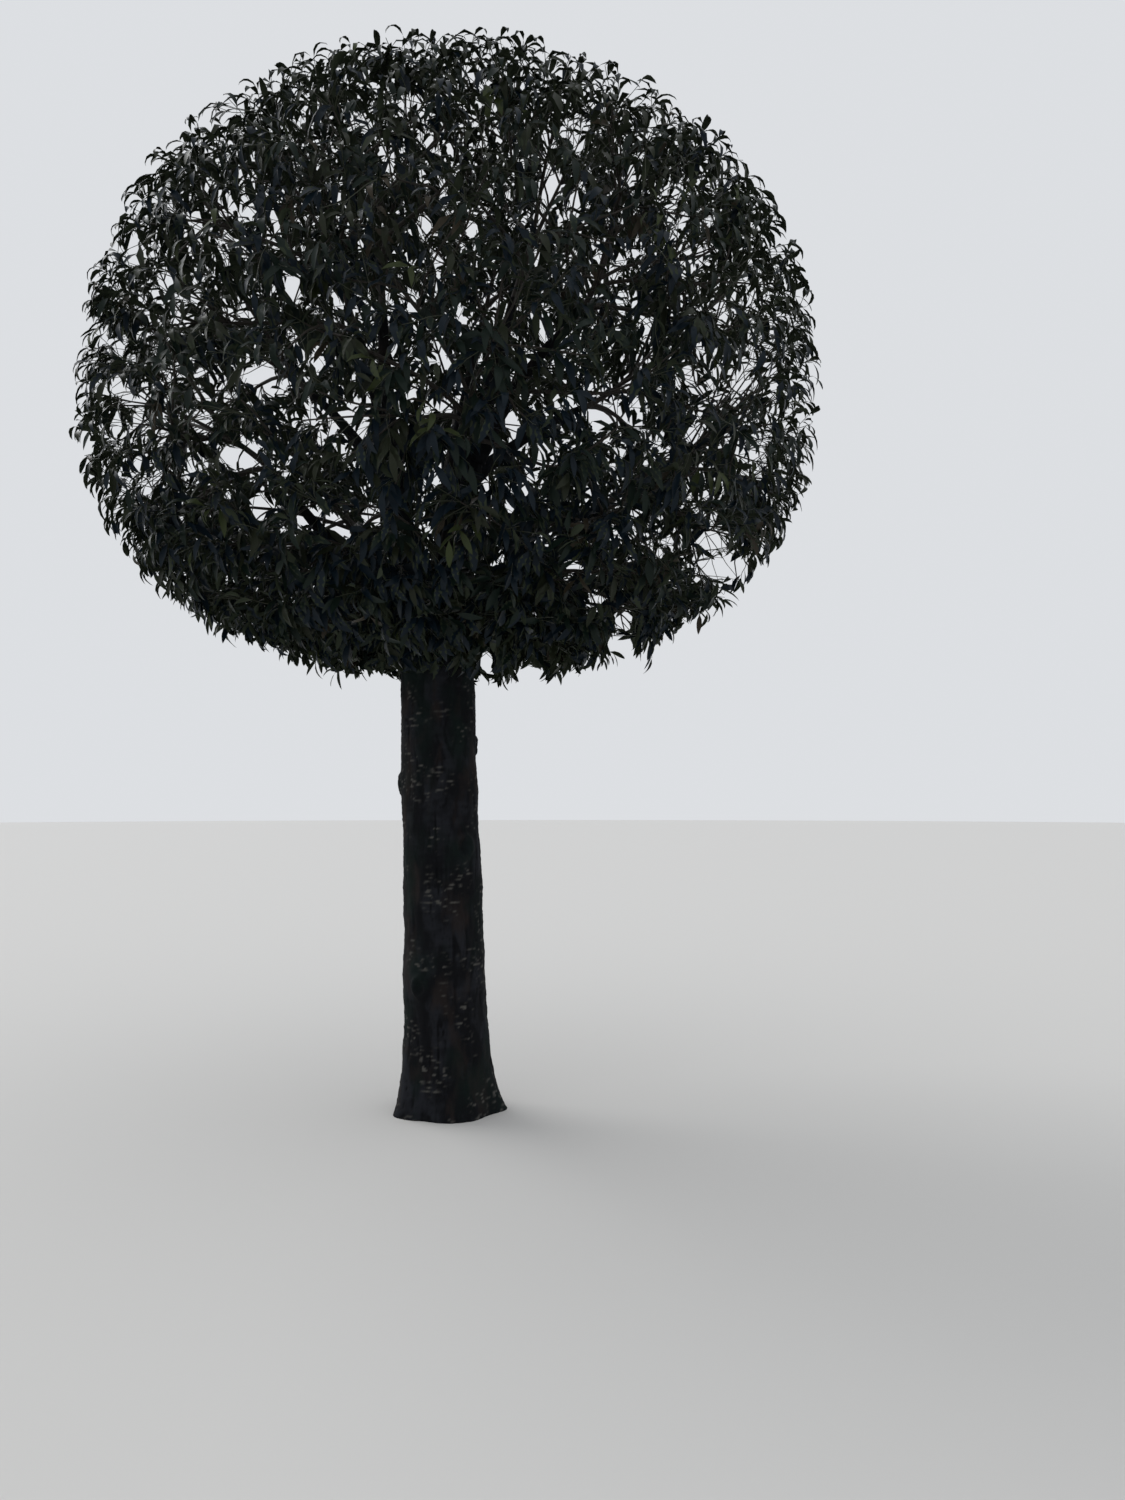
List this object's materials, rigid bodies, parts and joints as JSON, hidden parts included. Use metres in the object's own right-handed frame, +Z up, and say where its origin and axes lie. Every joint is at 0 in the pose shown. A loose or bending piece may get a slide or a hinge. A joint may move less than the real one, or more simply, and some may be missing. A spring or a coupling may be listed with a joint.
{
  "type": "standard laurel topiary",
  "caption": "Evergreen tree trained as a standard: a bare straight trunk forks into boughs under a clipped dome of drooping lance-shaped leaves that lets the sky through.",
  "frame": {"origin": "middle of the flat cut under the trunk, at ground level", "axes": "+Z up the trunk, -Y towards the viewer, +X to the viewer's right"},
  "size_m": [2.6515, 2.6266, 3.6609],
  "materials": {
    "bark": "rough dark grey-brown bark",
    "foliage": "glossy dark green leaves, paler and matt underneath"
  },
  "bodies": {
    "root": {"trunk": "bark", "rising_limb_1": "bark", "rising_limb_2": "bark", "rising_limb_3": "bark", "shoulder_bough_1": "bark", "shoulder_bough_2": "bark", "shoulder_bough_3": "bark", "shoulder_bough_4": "bark", "shoulder_bough_5": "bark", "side_bough_1": "bark", "side_bough_2": "bark", "side_bough_3": "bark", "side_bough_4": "bark", "side_bough_5": "bark", "skirt_bough_1": "bark", "skirt_bough_2": "bark", "skirt_bough_3": "bark", "skirt_bough_4": "bark", "skirt_bough_5": "bark", "top_foliage_1": "foliage", "top_foliage_2": "foliage", "top_foliage_3": "foliage", "shoulder_foliage_1": "foliage", "shoulder_foliage_2": "foliage", "shoulder_foliage_3": "foliage", "shoulder_foliage_4": "foliage", "shoulder_foliage_5": "foliage", "side_foliage_1": "foliage", "side_foliage_2": "foliage", "side_foliage_3": "foliage", "side_foliage_4": "foliage", "side_foliage_5": "foliage", "skirt_foliage_1": "foliage", "skirt_foliage_2": "foliage", "skirt_foliage_3": "foliage", "skirt_foliage_4": "foliage", "skirt_foliage_5": "foliage"}
  },
  "joints": []
}
